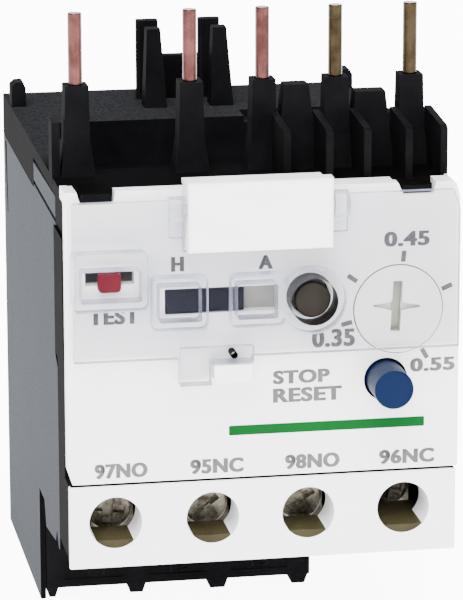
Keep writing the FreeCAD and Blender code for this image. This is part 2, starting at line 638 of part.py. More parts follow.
def bridge_rivets():
    return [cyl("y", 20.5, 19.2, 16.0, 0.75, 0.35), cyl("y", 25.0, 19.2, 16.0, 0.75, 0.35),
            cyl("y", 20.5, 15.85, 21.0, 0.75, 0.2), cyl("y", 25.0, 15.85, 21.0, 0.75, 0.2)]


# ---------------------------------------------------------------------------
# Trip chain: bimetals, slide bars, compensation strip, trip lever
# ---------------------------------------------------------------------------
PIVOT = (40.7, 24.5)
BIM_Z = (1.6, 33.6)
BIM_Y = (41.2, 46.0)


def bimetal_strip(xc):
    # the rounded foot is the line about which the strip leans
    return fuse(bx(xc - 0.4, xc + 0.4, BIM_Y[0], BIM_Y[1], BIM_Z[0], BIM_Z[1]),
                cyl("y", xc, BIM_Y[0], BIM_Z[0], 0.4, BIM_Y[1] - BIM_Y[0]))


def insulation_sleeve(xc):
    s = bx(xc - 0.85, xc + 0.85, BIM_Y[0] - 0.45, BIM_Y[1] + 0.45, 6.0, 26.5)
    return s.cut(bx(xc - 0.42, xc + 0.42, BIM_Y[0] - 0.02, BIM_Y[1] + 0.02, 5.0, 27.5))


def heater_winding(xc):
    """Resistance wire wound round the sleeve."""
    w = 0.3
    a, b = (0.85 * GRID + w + 0.12), ((BIM_Y[1] - BIM_Y[0]) / 2 + 0.45) * GRID + w + 0.12
    zc0, pitch, turns = gz(7.0), 1.9, 10
    pts = []
    corner = [(-a, -b), (a, -b), (a, b), (-a, b)]
    cx, cy = gx(xc), gy((BIM_Y[0] + BIM_Y[1]) / 2)
    for n in range(turns * 4 + 1):
        p, q = corner[n % 4]
        pts.append(V(cx + p, cy + q, zc0 + pitch * n / 4.0))
    solids = []
    for i in range(len(pts) - 1):
        d = pts[i + 1].sub(pts[i])
        solids.append(Part.makeCylinder(w, d.Length, pts[i], d))
        if i:
            solids.append(Part.makeSphere(w, pts[i]))
    s = solids[0].fuse(solids[1:])
    return s.removeSplitter()


def heater_holder(xc):
    """Steel foot with a slot that the bimetal stands in."""
    s = fuse(bx(xc - 2.6, xc + 2.6, 36.2, 50.0, -1.4, 0.6),
             bx(xc - 2.6, xc - 0.9, 39.0, 48.0, 0.5, 3.6),
             bx(xc + 0.9, xc + 2.6, 39.0, 48.0, 0.5, 3.6))
    return s


def transmission_bar():
    s = bx(4.0, 41.2, 38.0, 39.6, 29.6, 32.4)
    fingers = [bx(xc - 1.6, xc - 0.55, 39.5, 44.2, 29.6, 32.4) for xc in POLE_X]
    peg = cyl("z", 36.0, 38.8, 32.3, mm(0.6), 1.5)
    hook = fuse(bx(40.6, 42.2, 38.0, 43.4, 29.6, 32.4), bx(41.1, 42.2, 40.5, 43.4, 26.9, 32.4))
    return fuse(s, peg, hook, *fingers)


def differential_bar():
    s = bx(4.0, 38.0, 47.2, 48.8, 29.6, 32.4)
    fingers = [bx(xc + 0.7, xc + 1.7, 44.6, 47.3, 29.6, 32.4) for xc in POLE_X]
    peg = cyl("z", 36.0, 48.0, 32.3, mm(0.6), 1.5)
    return fuse(s, peg, *fingers)


def differential_lever():
    s = fuse(bx(35.0, 37.0, 37.9, 48.9, 32.6, 33.4))
    return s.cut([cyl("z", 36.0, 38.8, 32.0, mm(0.65), 2.0),
                  cyl("z", 36.0, 48.0, 32.0, mm(0.65), 2.0)])


def trip_lever():
    s = fuse(cyl("z", PIVOT[0], PIVOT[1], 12.6, 1.9, 21.0),
             bx(24.4, 40.7, 23.95, 25.2, 24.2, 26.2),
             bx(35.4, 37.9, 23.95, 25.2, 19.4, 24.3),
             bx(39.9, 41.5, 25.0, 33.0, 26.4, 31.6))
    s = s.cut([cyl("z", PIVOT[0], PIVOT[1], 12.0, mm(1.05), 23.0),
               bx(40.35, 41.05, 27.9, 33.1, 26.3, 31.7)])
    return s


def compensation_strip():
    return fuse(bx(40.37, 41.03, 28.0, 33.5, 26.4, 31.4), bx(40.37, 41.03, 33.3, 42.9, 26.4, 29.2))


def trip_pivot():
    return cyl("z", PIVOT[0], PIVOT[1], 8.1, mm(1.0), 26.8)


# ---------------------------------------------------------------------------
# Conductors
# ---------------------------------------------------------------------------
def power_pins():
    out = []
    for xp, xc in zip(PIN_X[:3], POLE_X):
        z_run = 33.2
        s = rod([(xp, Y_PIN, Z_SHOULDER + 0.3), (xp, Y_PIN, z_run), (xc, 25.5, z_run),
                 (xc, 35.6, z_run)], PIN_CORE_R)
        s = fuse(s, cyl("z", xp, Y_PIN, Z_SHOULDER, mm(PIN_R), Z_PIN - Z_SHOULDER))
        s = fillet(s, 0.12, lambda e: e.BoundBox.ZMin > gz(Z_PIN - 0.01))
        out.append(s)
    return out


def auxiliary_pins():
    out = []
    for xp in PIN_X[3:]:
        s = fuse(cyl("z", xp, Y_PIN, 30.0, mm(PIN_CORE_R), Z_SHOULDER - 29.9),
                 cyl("z", xp, Y_PIN, Z_SHOULDER, mm(PIN_R), Z_PIN - Z_SHOULDER))
        s = fillet(s, 0.12, lambda e: e.BoundBox.ZMin > gz(Z_PIN - 0.01))
        out.append(s)
    return out


def power_bars():
    out = []
    for xc in POLE_X:
        s = fuse(bx(xc - 3.2, xc + 3.2, 36.6, 37.8, -9.6, -1.5),
                 bx(xc - 2.2, xc + 2.2, 36.6, 46.0, -2.6, -1.5))
        out.append(s.cut(cyl("y", xc, 36.0, -4.9, mm(2.05), 3.0)))
    return out


def power_screws():
    out = []
    for i, xc in enumerate(POLE_X):
        head = cyl("y", xc, 31.0, -4.9, 2.8, 2.0)
        s = fuse(head, cyl("y", xc, 32.9, -4.9, mm(2.0), 7.3))
        cross = fuse(bx(xc - 2.0, xc + 2.0, 30.9, 31.9, -5.3, -4.5),
                     bx(xc - 0.5, xc + 0.5, 30.9, 32.2, -6.5, -3.3))
        cross.rotate(V(gx(xc), 0, gz(-4.9)), V(0, 1, 0), (20, -35, 60)[i])
        out.append(s.cut(cross).removeSplitter())
    return out


def power_clamps():
    out = []
    for xc in POLE_X:
        p = bx(xc - 3.2, xc + 3.2, 33.15, 34.15, -8.3, -1.6)
        out.append(p.cut(cyl("y", xc, 33.0, -4.9, mm(2.08), 2.0)))
    return out


shapes = {}
shapes["base_housing"] = [base_housing()]
shapes["left_side_cover"] = [side_cover()]
shapes["rear_cover"] = [rear_cover()]
shapes["front_cover"] = [front_cover()]
shapes["terminal_block"] = [terminal_block()]
shapes["marker_tab"] = [marker_tab()]
shapes["clear_cover"] = [clear_cover()]
shapes["mechanism_frame"] = [mechanism_frame()]
shapes["reset_button"] = [reset_button()]
shapes["reset_spring"] = [coil(BUTTON[0], BUTTON[1], 3.4, 8.7, 1.75, 0.2, 5)]
shapes["dial"] = [dial()]
shapes["dial_cam"] = [dial_cam()]
shapes["test_lever"] = [test_lever()]
shapes["selector_slide"] = [selector_slide()]
shapes["calibration_screw"] = [calibration_screw()]
shapes["control_screws"] = control_screws()
shapes["control_clamps"] = control_clamps()
shapes["contact_strips"] = contact_strips()
shapes["fixed_contact_rivets"] = fixed_rivets()
shapes["contact_slider"] = [contact_slider()]
shapes["contact_bridges"] = contact_bridges()
shapes["bridge_rivets"] = bridge_rivets()
for n, xc in enumerate(POLE_X, 1):
    shapes["bimetal_%d" % n] = [bimetal_strip(xc)]
    shapes["sleeve_%d" % n] = [insulation_sleeve(xc)]
    shapes["heater_winding_%d" % n] = [heater_winding(xc)]
shapes["bimetal_holders"] = [heater_holder(xc) for xc in POLE_X]
shapes["transmission_bar"] = [transmission_bar()]
shapes["differential_bar"] = [differential_bar()]
shapes["differential_lever"] = [differential_lever()]
shapes["trip_lever"] = [trip_lever()]
shapes["compensation_strip"] = [compensation_strip()]
shapes["trip_pivot"] = [trip_pivot()]
shapes["power_pins"] = power_pins()
shapes["auxiliary_pins"] = auxiliary_pins()
shapes["power_bars"] = power_bars()
shapes["power_screws"] = power_screws()
shapes["power_clamps"] = power_clamps()

for name, solids in shapes.items():
    save(name, *solids)
print(len(shapes), "nodes")
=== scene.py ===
import json
import math
import random

import bmesh
import bpy
from mathutils import Matrix, Vector

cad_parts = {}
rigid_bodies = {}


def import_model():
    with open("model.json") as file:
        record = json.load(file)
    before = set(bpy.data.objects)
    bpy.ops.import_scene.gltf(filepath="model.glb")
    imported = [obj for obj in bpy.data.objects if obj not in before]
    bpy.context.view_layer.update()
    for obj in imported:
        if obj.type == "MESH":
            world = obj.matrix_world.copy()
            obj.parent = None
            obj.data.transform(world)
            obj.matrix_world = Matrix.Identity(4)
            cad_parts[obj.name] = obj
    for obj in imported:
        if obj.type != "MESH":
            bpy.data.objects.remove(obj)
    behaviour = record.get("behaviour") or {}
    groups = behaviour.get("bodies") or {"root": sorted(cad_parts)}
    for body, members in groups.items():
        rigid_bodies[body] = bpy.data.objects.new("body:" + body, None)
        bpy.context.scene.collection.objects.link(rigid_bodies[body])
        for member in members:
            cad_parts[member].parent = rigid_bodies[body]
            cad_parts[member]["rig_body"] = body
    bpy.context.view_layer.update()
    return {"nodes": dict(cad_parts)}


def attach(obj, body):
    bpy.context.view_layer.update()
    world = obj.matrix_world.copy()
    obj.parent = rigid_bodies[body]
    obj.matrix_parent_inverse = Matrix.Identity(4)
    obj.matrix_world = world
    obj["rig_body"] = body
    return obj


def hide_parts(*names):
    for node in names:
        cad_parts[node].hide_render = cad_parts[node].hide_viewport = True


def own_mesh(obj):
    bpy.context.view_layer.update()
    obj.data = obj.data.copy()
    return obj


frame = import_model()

random.seed(7)
nodes = frame["nodes"]

# --------------------------------------------------------------------------
# Layout grid, the same as the CAD source's, here in metres
# --------------------------------------------------------------------------
G = 45.0 / 45.8 / 1000.0


def gx(v):
    return (v - 22.3) * G


def gy(v):
    return (v - 28.225) * G


def gz(v):
    return (v + 13.2) * G


def P(x, y, z):
    return Vector((gx(x), gy(y), gz(z)))


# --------------------------------------------------------------------------
# Materials
# --------------------------------------------------------------------------
def new_mat(name):
    m = bpy.data.materials.new(name)
    m.use_nodes = True
    nt = m.node_tree
    nt.nodes.clear()
    out = nt.nodes.new("ShaderNodeOutputMaterial")
    b = nt.nodes.new("ShaderNodeBsdfPrincipled")
    nt.links.new(b.outputs[0], out.inputs[0])
    return m, nt, b


def noise(nt, vec, scale, detail=3.0, rough=0.55):
    n = nt.nodes.new("ShaderNodeTexNoise")
    n.inputs["Scale"].default_value = scale
    n.inputs["Detail"].default_value = detail
    n.inputs["Roughness"].default_value = rough
    nt.links.new(vec, n.inputs["Vector"])
    return n.outputs["Fac"]


def span(nt, fac, a, b, lo=0.3, hi=0.7):
    r = nt.nodes.new("ShaderNodeMapRange")
    r.inputs["From Min"].default_value = lo
    r.inputs["From Max"].default_value = hi
    r.inputs["To Min"].default_value = a
    r.inputs["To Max"].default_value = b
    nt.links.new(fac, r.inputs["Value"])
    return r.outputs["Result"]


def mix_col(nt, fac, a, b):
    m = nt.nodes.new("ShaderNodeMix")
    m.data_type = "RGBA"
    m.inputs["A"].default_value = (*a, 1)
    m.inputs["B"].default_value = (*b, 1)
    nt.links.new(fac, m.inputs["Factor"])
    return m.outputs["Result"]


def bump(nt, height, dist, strength=1.0, normal=None):
    b = nt.nodes.new("ShaderNodeBump")
    b.inputs["Distance"].default_value = dist
    b.inputs["Strength"].default_value = strength
    nt.links.new(height, b.inputs["Height"])
    if normal is not None:
        nt.links.new(normal, b.inputs["Normal"])
    return b.outputs["Normal"]


def coords(nt):
    return nt.nodes.new("ShaderNodeTexCoord").outputs["Object"]


def plastic(name, col, col2, rough, rough2, grain=0.12, grain_d=0.000012, wave_d=0.00003,
            specular=0.5, coat=0.0, coat_rough=0.1, sss=0.0):
    """Moulded thermoplastic: fine spark grain, a slow waviness and faint flow marks."""
    m, nt, b = new_mat(name)
    v = coords(nt)
    big = noise(nt, v, 90.0, 3.0, 0.5)
    fine = noise(nt, v, 1000.0 / grain, 2.0, 0.6)
    flow = noise(nt, v, 260.0, 4.0, 0.6)
    nt.links.new(mix_col(nt, span(nt, flow, 0, 1, 0.35, 0.68), col, col2), b.inputs["Base Color"])
    nt.links.new(span(nt, fine, rough, rough2), b.inputs["Roughness"])
    n1 = bump(nt, big, wave_d)
    n2 = bump(nt, fine, grain_d, 1.0, n1)
    nt.links.new(n2, b.inputs["Normal"])
    b.inputs["Specular IOR Level"].default_value = specular
    b.inputs["IOR"].default_value = 1.5
    b.inputs["Coat Weight"].default_value = coat
    b.inputs["Coat Roughness"].default_value = coat_rough
    if sss:
        b.inputs["Subsurface Weight"].default_value = sss
        b.inputs["Subsurface Radius"].default_value = (0.6, 0.55, 0.5)
        b.inputs["Subsurface Scale"].default_value = 0.0006
    return m


def metal(name, col, col2, rough, rough2, scale=900.0, stretch=(1, 1, 1), d=0.000008, dirt=None):
    m, nt, b = new_mat(name)
    v = coords(nt)
    mp = nt.nodes.new("ShaderNodeMapping")
    mp.inputs["Scale"].default_value = stretch
    nt.links.new(v, mp.inputs["Vector"])
    fine = noise(nt, mp.outputs[0], scale, 4.0, 0.65)
    big = noise(nt, v, 420.0, 4.0, 0.6)
    nt.links.new(mix_col(nt, span(nt, big, 0, 1, 0.38, 0.64), col, col2), b.inputs["Base Color"])
    nt.links.new(span(nt, fine, rough, rough2), b.inputs["Roughness"])
    b.inputs["Metallic"].default_value = 1.0
    nt.links.new(bump(nt, fine, d), b.inputs["Normal"])
    return m


def clear(name, low=0.010, high=0.92, start=0.10, end=0.80):
    """Clear plastic: see-through face on; edge on it turns to a milky lavender with dark and light streaks,
    a painted reflection and refraction of its walls.
    """
    m, nt, b = new_mat(name)
    v = coords(nt)
    big = noise(nt, v, 140.0, 3.0, 0.5)
    fine = noise(nt, v, 900.0, 3.0, 0.5)
    streak = nt.nodes.new("ShaderNodeMapping")
    streak.inputs["Scale"].default_value = (1.0, 0.35, 1.0)
    nt.links.new(v, streak.inputs["Vector"])
    band = noise(nt, streak.outputs[0], 300.0, 2.0, 0.5)
    nt.links.new(mix_col(nt, span(nt, band, 0, 1, 0.2, 0.8), (0.16, 0.164, 0.24), (0.52, 0.54, 0.68)),
                 b.inputs["Base Color"])
    nt.links.new(span(nt, fine, 0.04, 0.11), b.inputs["Roughness"])
    nrm = bump(nt, big, 0.00005)
    nt.links.new(nrm, b.inputs["Normal"])
    see = nt.nodes.new("ShaderNodeBsdfTransparent")
    see.inputs["Color"].default_value = (0.972, 0.972, 0.978, 1)
    lw = nt.nodes.new("ShaderNodeLayerWeight")
    lw.inputs["Blend"].default_value = 0.5
    fac = span(nt, lw.outputs["Facing"], low, high, start, end)
    mx = nt.nodes.new("ShaderNodeMixShader")
    nt.links.new(fac, mx.inputs[0])
    nt.links.new(see.outputs[0], mx.inputs[1])
    nt.links.new(b.outputs[0], mx.inputs[2])
    out = [n for n in nt.nodes if n.type == "OUTPUT_MATERIAL"][0]
    nt.links.new(mx.outputs[0], out.inputs[0])
    return m


def soft_black(name, col, col2, gloss, rough, speck=False):
    """Grained black moulding: dull body with a faint even gloss."""
    m, nt, b = new_mat(name)
    v = coords(nt)
    big = noise(nt, v, 90.0, 3.0, 0.5)
    fine = noise(nt, v, 6000.0, 2.0, 0.6)
    flow = noise(nt, v, 3200.0, 3.0, 0.7) if speck else noise(nt, v, 260.0, 4.0, 0.6)
    nt.links.new(mix_col(nt, span(nt, flow, 0, 1, 0.40 if speck else 0.35, 0.68), col, col2),
                 b.inputs["Base Color"])
    nt.links.new(span(nt, fine, 0.5, 0.7), b.inputs["Roughness"])
    b.inputs["Specular IOR Level"].default_value = 0.0
    nrm = bump(nt, fine, 0.000014, 1.0, bump(nt, big, 0.00003))
    nt.links.new(nrm, b.inputs["Normal"])
    g = nt.nodes.new("ShaderNodeBsdfGlossy")
    nt.links.new(span(nt, fine, rough, rough + 0.12), g.inputs["Roughness"])
    nt.links.new(nrm, g.inputs["Normal"])
    lw = nt.nodes.new("ShaderNodeLayerWeight")
    lw.inputs["Blend"].default_value = 0.5
    mx = nt.nodes.new("ShaderNodeMixShader")
    nt.links.new(span(nt, lw.outputs["Facing"], gloss, gloss * 7.0, 0.3, 0.85), mx.inputs[0])
    nt.links.new(b.outputs[0], mx.inputs[1])
    nt.links.new(g.outputs[0], mx.inputs[2])
    out = [n for n in nt.nodes if n.type == "OUTPUT_MATERIAL"][0]
    nt.links.new(mx.outputs[0], out.inputs[0])
    return m


def sheen(name, col, edge, rough, rough2):
    """Black moulding with a painted sheen: its base colour turns blue grey when seen at a shallow angle,
    standing in for a glossy reflection.
    """
    m, nt, b = new_mat(name)
    v = coords(nt)
    big = noise(nt, v, 60.0, 3.0, 0.5)
    fine = noise(nt, v, 5000.0, 2.0, 0.6)
    lw = nt.nodes.new("ShaderNodeLayerWeight")
    lw.inputs["Blend"].default_value = 0.5
    fac = span(nt, lw.outputs["Facing"], 0.0, 1.0, 0.35, 0.86)
    tint = mix_col(nt, span(nt, big, 0, 1), edge, tuple(c * 1.12 for c in edge))
    mc = nt.nodes.new("ShaderNodeMix")
    mc.data_type = "RGBA"
    mc.inputs["A"].default_value = (*col, 1)
    nt.links.new(tint, mc.inputs["B"])
    nt.links.new(fac, mc.inputs["Factor"])
    nt.links.new(mc.outputs["Result"], b.inputs["Base Color"])
    nt.links.new(span(nt, fine, rough, rough2), b.inputs["Roughness"])
    n1 = bump(nt, big, 0.00002)
    nt.links.new(bump(nt, fine, 0.000003, 1.0, n1), b.inputs["Normal"])
    b.inputs["Specular IOR Level"].default_value = 0.0009
    return m


BLACK = soft_black("black_moulded", (0.0019, 0.0019, 0.0023), (0.0036, 0.0036, 0.0043), 0.0022, 0.42)
# painted light: the deck's upward faces get a lighter black than the rest of the housing, as if lit from
# above
DECK_LIGHT_SHADE = soft_black("black_deck_painted_light_shade", (0.0080, 0.0082, 0.0094), (0.0215, 0.0218, 0.0240), 0.0003, 0.42,
                  speck=True)
# painted shade: the deck's colour is darkened towards the front, where the towers shelter it
knt = DECK_LIGHT_SHADE.node_tree
kbs = [n for n in knt.nodes if n.type == "BSDF_PRINCIPLED"][0]
ksep = knt.nodes.new("ShaderNodeSeparateXYZ")
knt.links.new(knt.nodes.new("ShaderNodeTexCoord").outputs["Object"], ksep.inputs[0])
kmix = knt.nodes.new("ShaderNodeMix")
kmix.data_type = "RGBA"
knt.links.new(span(knt, ksep.outputs["Y"], 1.0, 0.0, gy(14.5), gy(25.0)), kmix.inputs["Factor"])
knt.links.new(kbs.inputs["Base Color"].links[0].from_socket, kmix.inputs["A"])
kmix.inputs["B"].default_value = (0.0022, 0.0020, 0.0024, 1)
knt.links.new(kmix.outputs["Result"], kbs.inputs["Base Color"])
# painted shade: the sheltered shelf in front of the towers gets a darker black
SHELF_SHADE = soft_black("black_shelf_painted_shade", (0.0016, 0.0014, 0.0014), (0.0026, 0.0024, 0.0024), 0.0003, 0.42)
# painted highlight with some wear: the rounded edges of the black housing get a lighter black
EDGE_WEAR_HIGHLIGHT = soft_black("black_edge_wear_painted_highlight", (0.0065, 0.0065, 0.0078), (0.0150, 0.0150, 0.0170), 0.004, 0.34)
# painted shade for gaps and hole walls between parts
SEAM_SHADE = soft_black("seam_painted_shade", (0.006, 0.005, 0.004), (0.010, 0.008, 0.006), 0.0, 0.5)
EMBOSS = soft_black("black_raised_mark", (0.0035, 0.0038, 0.0042), (0.005, 0.0055, 0.006), 0.0015, 0.3)
# painted sheen: the left side cover's black turns blue grey at a shallow angle
SIDE_SHEEN = sheen("black_side_painted_sheen", (0.003, 0.003, 0.0035), (0.019, 0.0225, 0.0285), 0.3, 0.4)
WHITE = plastic("white_moulded", (0.80, 0.80, 0.80), (0.835, 0.835, 0.832), 0.36, 0.46,
                grain=0.22, grain_d=0.000003, wave_d=0.00002, sss=0.12)
TAB = plastic("white_tab", (0.86, 0.86, 0.845), (0.89, 0.89, 0.88), 0.4, 0.5,
              grain=0.2, grain_d=0.000003, wave_d=0.00002, sss=0.12)
DIAL_SLOT_SHADE = plastic("cream_dial_slot_painted_shade", (0.78, 0.78, 0.74), (0.82, 0.82, 0.785), 0.34, 0.44,
               grain=0.2, grain_d=0.000003, sss=0.12)
# painted shade: the dial's cream darkens to a dull olive grey deeper into its slot
dnt = DIAL_SLOT_SHADE.node_tree
dbs = [n for n in dnt.nodes if n.type == "BSDF_PRINCIPLED"][0]
dsep = dnt.nodes.new("ShaderNodeSeparateXYZ")
dnt.links.new(dnt.nodes.new("ShaderNodeTexCoord").outputs["Object"], dsep.inputs[0])
dmix = dnt.nodes.new("ShaderNodeMix")
dmix.data_type = "RGBA"
dnt.links.new(span(dnt, dsep.outputs["Y"], 0.0, 1.0, gy(0.02), gy(1.0)), dmix.inputs["Factor"])
dnt.links.new(dbs.inputs["Base Color"].links[0].from_socket, dmix.inputs["A"])
dmix.inputs["B"].default_value = (0.30, 0.31, 0.235, 1)
dnt.links.new(dmix.outputs["Result"], dbs.inputs["Base Color"])
NATURAL = plastic("natural_nylon", (0.55, 0.5, 0.37), (0.62, 0.57, 0.44), 0.4, 0.55, grain=0.18)
LEDGE_SHADE = plastic("ledge_painted_shade", (0.020, 0.0165, 0.0060), (0.034, 0.0285, 0.0125), 0.35, 0.5, grain=0.2,
                specular=0.1)
BLUE = plastic("blue_button", (0.0006, 0.0056, 0.0255), (0.0008, 0.0068, 0.0305), 0.4, 0.5,
               grain=0.2, grain_d=0.000006, specular=0.06)
RED = plastic("red_lever", (0.085, 0.0024, 0.0062), (0.098, 0.003, 0.0078), 0.4, 0.5, grain=0.2,
              specular=0.04)
CHARCOAL = plastic("slate_slide", (0.0035, 0.0038, 0.0068), (0.0065, 0.007, 0.0115), 0.4, 0.5, grain=0.14,
                   grain_d=0.00001, specular=0.05)
WELL_SHADE = plastic("slide_well_painted_shade", (0.17, 0.17, 0.155), (0.21, 0.21, 0.19), 0.4, 0.5, grain=0.2)
CLEAR = clear("clear_polycarbonate")
# painted glint: the clear cover's rounded edges turn milky more strongly, as bright edge lines
CLEAR_EDGE_GLINT = clear("clear_edge_painted_glint", 0.12, 0.96, 0.05, 0.60)
ZINC = metal("zinc_steel", (0.165, 0.150, 0.120), (0.030, 0.026, 0.018), 0.2, 0.4, scale=1500.0, d=0.000018)
DARKSTEEL = plastic("dark_screw", (0.0075, 0.0058, 0.0042), (0.0145, 0.0115, 0.0088), 0.4, 0.55, grain=0.2,
                    grain_d=0.00001, specular=0.08)
SPRING = metal("spring_steel", (0.45, 0.45, 0.45), (0.35, 0.35, 0.34), 0.2, 0.35)
BIMETAL = metal("bimetal_strip", (0.5, 0.46, 0.4), (0.4, 0.36, 0.3), 0.25, 0.4)
WIRE = metal("resistance_wire", (0.42, 0.39, 0.35), (0.3, 0.27, 0.24), 0.3, 0.5)
SILVER = metal("silver_contact", (0.85, 0.84, 0.82), (0.78, 0.77, 0.75), 0.15, 0.3)
COPPER = metal("copper_pin", (0.100, 0.041, 0.037), (0.052, 0.020, 0.018), 0.2, 0.4, scale=1400.0,
               stretch=(1, 1, 0.10), d=0.000016)
BRASS = metal("brass_pin", (0.034, 0.025, 0.0135), (0.014, 0.010, 0.005), 0.16, 0.34, scale=1400.0,
              stretch=(1, 1, 0.08), d=0.000016)
FIBRE = plastic("glass_fibre", (0.78, 0.75, 0.66), (0.84, 0.81, 0.73), 0.7, 0.9, grain=0.4,
                grain_d=0.00006)
INK = plastic("grey_ink", (0.082, 0.082, 0.086), (0.11, 0.11, 0.115), 0.5, 0.7, grain=0.2,
              wave_d=0.00001, specular=0.1)
GREEN = plastic("green_ink", (0.0002, 0.054, 0.0085), (0.0003, 0.062, 0.0105), 0.42, 0.55, grain=0.2,
                wave_d=0.00001, specular=0.04)

ASSIGN = {
    "base_housing": BLACK, "left_side_cover": SIDE_SHEEN, "rear_cover": BLACK, "front_cover": WHITE,
    "terminal_block": WHITE, "marker_tab": TAB, "clear_cover": CLEAR, "mechanism_frame": NATURAL,
    "reset_button": BLUE, "reset_spring": SPRING, "dial": DIAL_SLOT_SHADE, "dial_cam": NATURAL,
    "test_lever": RED, "selector_slide": CHARCOAL, "calibration_screw": DARKSTEEL,
    "control_screws": ZINC, "control_clamps": ZINC, "contact_strips": BRASS,
    "fixed_contact_rivets": SILVER, "contact_slider": NATURAL, "contact_bridges": BRASS,
    "bridge_rivets": SILVER, "bimetal_holders": ZINC, "transmission_bar": NATURAL,
    "differential_bar": NATURAL, "differential_lever": NATURAL, "trip_lever": NATURAL,
    "compensation_strip": BIMETAL, "trip_pivot": SPRING, "power_pins": COPPER,
    "auxiliary_pins": BRASS, "power_bars": COPPER, "power_screws": ZINC, "power_clamps": ZINC,
}
for i in (1, 2, 3):
    ASSIGN["bimetal_%d" % i] = BIMETAL
    ASSIGN["sleeve_%d" % i] = FIBRE
    ASSIGN["heater_winding_%d" % i] = WIRE

for name, obj in nodes.items():
    m = ASSIGN[name]
    if not obj.data.materials:
        obj.data.materials.append(m)
    for k in range(len(obj.data.materials)):
        obj.data.materials[k] = m


# --------------------------------------------------------------------------
# Rounded copies of the visible mouldings
# --------------------------------------------------------------------------
def body_of(node):
    return nodes[node]["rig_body"]


def rounded(node, width, segments=2, angle=28.0, mat=None, edge=None):
    """Copy of a CAD node with merged flats and softly rounded edges, shown in its place."""
    src = nodes[node]
    me = src.data.copy()
    me.name = node + "_shell"
    ob = bpy.data.objects.new(node + "_shell", me)
    bpy.context.scene.collection.objects.link(ob)
    bm = bmesh.new()
    bm.from_mesh(me)
    bmesh.ops.remove_doubles(bm, verts=bm.verts, dist=2e-6)
    bmesh.ops.dissolve_limit(bm, angle_limit=math.radians(1.0), verts=bm.verts, edges=bm.edges)
    for f in bm.faces:
        f.smooth = True
    bm.to_mesh(me)
    bm.free()
    mod = ob.modifiers.new("round", "BEVEL")
    mod.width = width
    mod.segments = segments
    mod.limit_method = "ANGLE"
    mod.angle_limit = math.radians(angle)
    mod.use_clamp_overlap = True
    if edge is not None:
        ob.data.materials.append(edge)
        mod.material = len(ob.data.materials) - 1
    wn = ob.modifiers.new("even", "WEIGHTED_NORMAL")
    wn.weight = 100
    wn.keep_sharp = False
    dg = bpy.context.evaluated_depsgraph_get()
    done = bpy.data.meshes.new_from_object(ob.evaluated_get(dg), preserve_all_data_layers=True,
                                           depsgraph=dg)
    ob.modifiers.clear()
    ob.data = done
    if mat is not None:
        ob.data.materials.clear()
        ob.data.materials.append(mat)
    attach(ob, body_of(node))
    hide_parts(node)
    return ob


# --------------------------------------------------------------------------
# Printed marks: flat letters and ticks lying on the white face
# --------------------------------------------------------------------------
def fit_text(name, text, x0, x1, z0, z1, y, mat, bold=0.0, thick=0.02, turn=0.0, body="body"):
    cu = bpy.data.curves.new(name, "FONT")
    cu.body = text
    cu.size = 1.0
    cu.offset = bold
    cu.extrude = 0.0
    cu.space_character = 1.1
    cu.resolution_u = 6
    tmp = bpy.data.objects.new(name + "_c", cu)
    bpy.context.scene.collection.objects.link(tmp)
    bpy.context.view_layer.update()
    dg = bpy.context.evaluated_depsgraph_get()
    me = bpy.data.meshes.new_from_object(tmp.evaluated_get(dg))
    bpy.data.objects.remove(tmp)
    xs = [v.co.x for v in me.vertices]
    ys = [v.co.y for v in me.vertices]
    w, h = max(xs) - min(xs), max(ys) - min(ys)
    cx, cz = (x0 + x1) / 2, (z0 + z1) / 2
    W, H = (x1 - x0), (z1 - z0)
    for v in me.vertices:
        a = (v.co.x - min(xs)) / w - 0.5
        b = (v.co.y - min(ys)) / h - 0.5
        px, pz = a * W, b * H
        c, s = math.cos(turn), math.sin(turn)
        v.co = P(cx + px * c - pz * s, y, cz + px * s + pz * c)
    bm = bmesh.new()
    bm.from_mesh(me)
    bmesh.ops.remove_doubles(bm, verts=bm.verts, dist=1e-7)
    out = bmesh.ops.extrude_face_region(bm, geom=bm.faces[:])
    moved = [e for e in out["geom"] if isinstance(e, bmesh.types.BMVert)]
    bmesh.ops.translate(bm, verts=moved, vec=(0, -thick / 1000.0, 0))
    bmesh.ops.recalc_face_normals(bm, faces=bm.faces)
    bm.to_mesh(me)
    bm.free()
    me.materials.clear()
    me.materials.append(mat)
    ob = bpy.data.objects.new(name, me)
    bpy.context.scene.collection.objects.link(ob)
    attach(ob, body)
    return ob


def flat_bar(name, cx, cz, length, width, ang, y, mat, thick=0.02, body="body"):
    """Small printed bar with rounded ends of corner."""
    bm = bmesh.new()
    pts = []
    r = min(length, width) * 0.12
    for sx, sz, a0 in ((1, 1, 0), (-1, 1, 90), (-1, -1, 180), (1, -1, 270)):
        for k in range(4):
            a = math.radians(a0 + 30 * k)
            px = sx * (length / 2 - r) + r * math.cos(a)
            pz = sz * (width / 2 - r) + r * math.sin(a)
            c, s = math.cos(ang), math.sin(ang)
            pts.append(bm.verts.new(P(cx + px * c - pz * s, y, cz + px * s + pz * c)))
    f = bm.faces.new(pts)
    out = bmesh.ops.extrude_face_region(bm, geom=[f])
    moved = [e for e in out["geom"] if isinstance(e, bmesh.types.BMVert)]
    bmesh.ops.translate(bm, verts=moved, vec=(0, -thick / 1000.0, 0))
    bmesh.ops.recalc_face_normals(bm, faces=bm.faces)
    me = bpy.data.meshes.new(name)
    bm.to_mesh(me)
    bm.free()
    me.materials.append(mat)
    ob = bpy.data.objects.new(name, me)
    bpy.context.scene.collection.objects.link(ob)
    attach(ob, body)
    return ob


shells = {
    "base_housing": rounded("base_housing", 0.00016, edge=EDGE_WEAR_HIGHLIGHT),
    "left_side_cover": rounded("left_side_cover", 0.00014),
    "front_cover": rounded("front_cover", 0.00013),
    "terminal_block": rounded("terminal_block", 0.00013),
    "clear_cover": rounded("clear_cover", 0.00012, edge=CLEAR_EDGE_GLINT),
}
